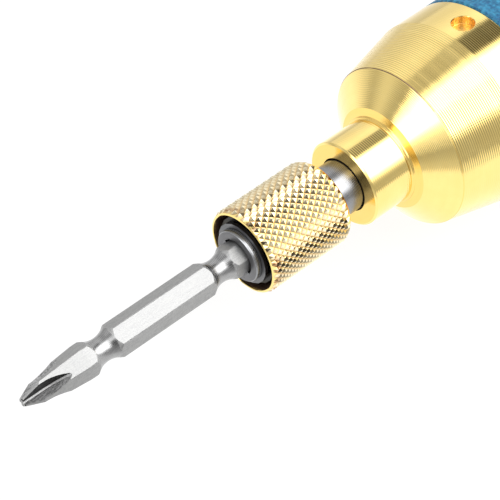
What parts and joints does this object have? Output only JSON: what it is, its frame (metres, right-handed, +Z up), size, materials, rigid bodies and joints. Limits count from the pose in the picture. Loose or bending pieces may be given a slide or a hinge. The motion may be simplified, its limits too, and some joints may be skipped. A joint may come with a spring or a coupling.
{
  "type": "pneumatic screwdriver",
  "caption": "Straight lever-start air impact screwdriver with a quick-change hex chuck, a double-ended cross-point bit, a reversing ring and a hanging bail.",
  "frame": {"origin": "on the surface that the tool lies on, under the middle of its length", "axes": "+X along the tool from the bit to the air inlet, +Z up through the throttle lever"},
  "size_m": [0.2562, 0.0414, 0.0577],
  "materials": {
    "bit_steel": "satin, ground flats",
    "shaft_steel": "blue-grey brushed steel",
    "bright_steel": "ground steel",
    "dark_steel": "oiled black steel",
    "gold_aluminium": "turned, bright gold anodised",
    "blue_coat": "wrinkle coat",
    "bronze": "sintered bronze",
    "plain_aluminium": "satin",
    "cylinder_iron": "honed",
    "seal_rubber": "matte",
    "vane_composite": "fibre and resin",
    "black_plastic": "fine matte",
    "muffler_felt": "pressed felt",
    "lever_coat": "satin black powder coat"
  },
  "bodies": {
    "case": {"hammer_case": "gold_aluminium", "anvil_bushing": "bronze", "motor_housing": "blue_coat", "front_end_plate": "plain_aluminium", "rear_end_plate": "plain_aluminium", "front_bearing_outer": "bright_steel", "rear_bearing_outer": "bright_steel", "motor_cylinder": "cylinder_iron", "motor_dowel": "bright_steel", "motor_gasket": "seal_rubber", "rear_head": "plain_aluminium", "detent_ball": "bright_steel", "detent_spring": "dark_steel", "lever_pin": "bright_steel", "inlet_bushing": "shaft_steel", "inlet_strainer": "bright_steel", "exhaust_muffler": "muffler_felt", "exhaust_deflector": "black_plastic", "valve_seat": "bronze", "valve_plug": "shaft_steel", "valve_spring": "dark_steel"},
    "rotor": {"rotor": "bright_steel", "vane_1": "vane_composite", "vane_2": "vane_composite", "vane_3": "vane_composite", "vane_4": "vane_composite", "vane_5": "vane_composite", "vane_6": "vane_composite", "front_bearing_inner": "bright_steel", "rear_bearing_inner": "bright_steel", "hammer_cage": "bright_steel", "hammer_pin_upper": "bright_steel", "hammer_pin_lower": "bright_steel"},
    "front_balls": {"front_bearing_balls": "bronze"},
    "rear_balls": {"rear_bearing_balls": "bronze"},
    "front_hammer": {"hammer_front": "dark_steel"},
    "rear_hammer": {"hammer_rear": "dark_steel"},
    "anvil": {"anvil": "shaft_steel", "chuck_ball": "bright_steel", "chuck_snap_ring": "dark_steel", "chuck_washer": "dark_steel", "chuck_spring": "dark_steel"},
    "sleeve": {"chuck_sleeve": "gold_aluminium"},
    "bit": {"bit": "bit_steel"},
    "lever": {"throttle_lever": "lever_coat"},
    "throttle": {"throttle_pin": "bright_steel", "throttle_valve": "seal_rubber"},
    "reverse": {"reverse_ring": "black_plastic", "reverse_pin": "bright_steel", "reverse_valve": "bronze"},
    "bail": {"hang_bail": "bright_steel"}
  },
  "joints": [
    {"name": "rotor_spin", "type": "hinge", "parent": "case", "child": "rotor", "pos_m": [0.03, 0, 0.02074], "axis": [1, 0, 0], "continuous": true},
    {"name": "front_balls_spin", "type": "hinge", "parent": "case", "child": "front_balls", "pos_m": [0.00688, 0, 0.02074], "axis": [1, 0, 0], "continuous": true},
    {"name": "rear_balls_spin", "type": "hinge", "parent": "case", "child": "rear_balls", "pos_m": [0.05788, 0, 0.02074], "axis": [1, 0, 0], "continuous": true},
    {"name": "front_hammer_swing", "type": "hinge", "parent": "rotor", "child": "front_hammer", "pos_m": [-0.01348, 0, 0.03434], "axis": [1, 0, 0], "range_deg": [-3, 3]},
    {"name": "rear_hammer_swing", "type": "hinge", "parent": "rotor", "child": "rear_hammer", "pos_m": [-0.00468, 0, 0.00714], "axis": [1, 0, 0], "range_deg": [-3, 3]},
    {"name": "anvil_spin", "type": "hinge", "parent": "case", "child": "anvil", "pos_m": [-0.038, 0, 0.02074], "axis": [1, 0, 0], "continuous": true},
    {"name": "sleeve_slide", "type": "slide", "parent": "anvil", "child": "sleeve", "axis": [-1, 0, 0], "range_m": [0, 0.0036], "stiffness_N_per_m": 700, "springref_m": -0.004, "deforming": ["chuck_spring"]},
    {"name": "bit_slide", "type": "slide", "parent": "anvil", "child": "bit", "axis": [-1, 0, 0], "range_m": [-0.0015, 0.014]},
    {"name": "lever_press", "type": "hinge", "parent": "case", "child": "lever", "pos_m": [0.11027, 0, 0.04414], "axis": [0, -1, 0], "range_deg": [0, 7], "stiffness_Nm_per_rad": 0.3, "springref_deg": -11.46},
    {"name": "throttle_slide", "type": "slide", "parent": "case", "child": "throttle", "axis": [0, 0, 1], "range_m": [-0.0016, 0], "deforming": ["valve_spring"]},
    {"name": "reverse_turn", "type": "hinge", "parent": "case", "child": "reverse", "pos_m": [0.08267, 0, 0.02074], "axis": [1, 0, 0], "range_deg": [-20, 20]},
    {"name": "bail_swing", "type": "hinge", "parent": "case", "child": "bail", "pos_m": [0.11528, 0, 0.02074], "axis": [0, -1, 0], "range_deg": [0, 150]}
  ],
  "couplings": [
    {"joint": "front_balls_spin", "follows": "rotor_spin", "ratio": 0.42},
    {"joint": "rear_balls_spin", "follows": "rotor_spin", "ratio": 0.42},
    {"joint": "throttle_slide", "follows": "lever_press", "m_per_rad": -0.01198}
  ]
}
